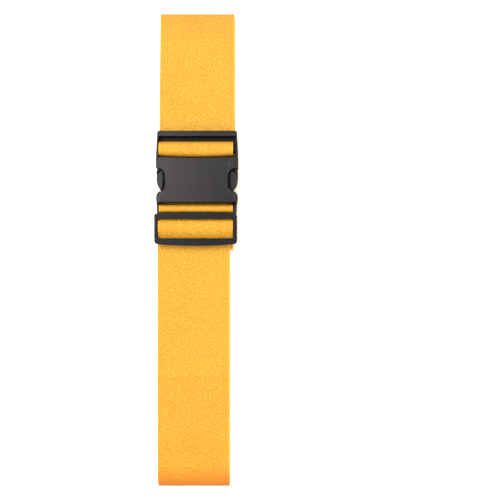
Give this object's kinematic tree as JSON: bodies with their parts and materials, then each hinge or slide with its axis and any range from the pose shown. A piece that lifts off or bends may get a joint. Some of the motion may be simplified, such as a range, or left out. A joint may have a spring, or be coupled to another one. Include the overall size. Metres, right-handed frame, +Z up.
{
  "type": "luggage strap",
  "caption": "Flat-folded woven luggage strap, buckled into a loop with a side-release buckle and a tri-glide adjuster on the face.",
  "frame": {"origin": "centre of the strap's footprint, on the surface that it lies on", "axes": "+Y along the strap, from the large low fold towards the top fold; +Z up, the way the buckle faces; +X across the webbing"},
  "size_m": [0.0561, 0.3235, 0.02],
  "materials": {
    "webbing": "golden-yellow woven polyester, fine staggered weave",
    "buckle_plastic": "fine satin moulded charcoal",
    "glide_plastic": "satin moulded black"
  },
  "bodies": {
    "strap": {"webbing_folded_layers": "webbing", "webbing_low_fold": "webbing", "webbing_face_run": "webbing", "webbing_end_loop": "webbing", "female_shell": "buckle_plastic"},
    "tongue": {"male_frame": "buckle_plastic", "webbing_tongue_run": "webbing"},
    "left_arm": {"left_latch_arm": "buckle_plastic"},
    "right_arm": {"right_latch_arm": "buckle_plastic"},
    "adjuster": {"tri_glide": "glide_plastic", "webbing_glide_turn": "webbing", "webbing_tail": "webbing"}
  },
  "joints": [
    {"name": "buckle_release", "type": "slide", "parent": "strap", "child": "tongue", "axis": [0, 1, 0], "range_m": [0, 0.034], "deforming": ["left_latch_arm", "right_latch_arm"]},
    {"name": "left_arm_squeeze", "type": "hinge", "parent": "tongue", "child": "left_arm", "pos_m": [-0.019, 0.0594, 0.0138], "axis": [0, 0, 1], "range_deg": [0, 12], "stiffness_Nm_per_rad": 0.5},
    {"name": "right_arm_squeeze", "type": "hinge", "parent": "tongue", "child": "right_arm", "pos_m": [0.0202, 0.0594, 0.0138], "axis": [0, 0, -1], "range_deg": [0, 12], "stiffness_Nm_per_rad": 0.5},
    {"name": "adjuster_slide", "type": "slide", "parent": "strap", "child": "adjuster", "axis": [0, -1, 0], "range_m": [0, 0.12]}
  ]
}
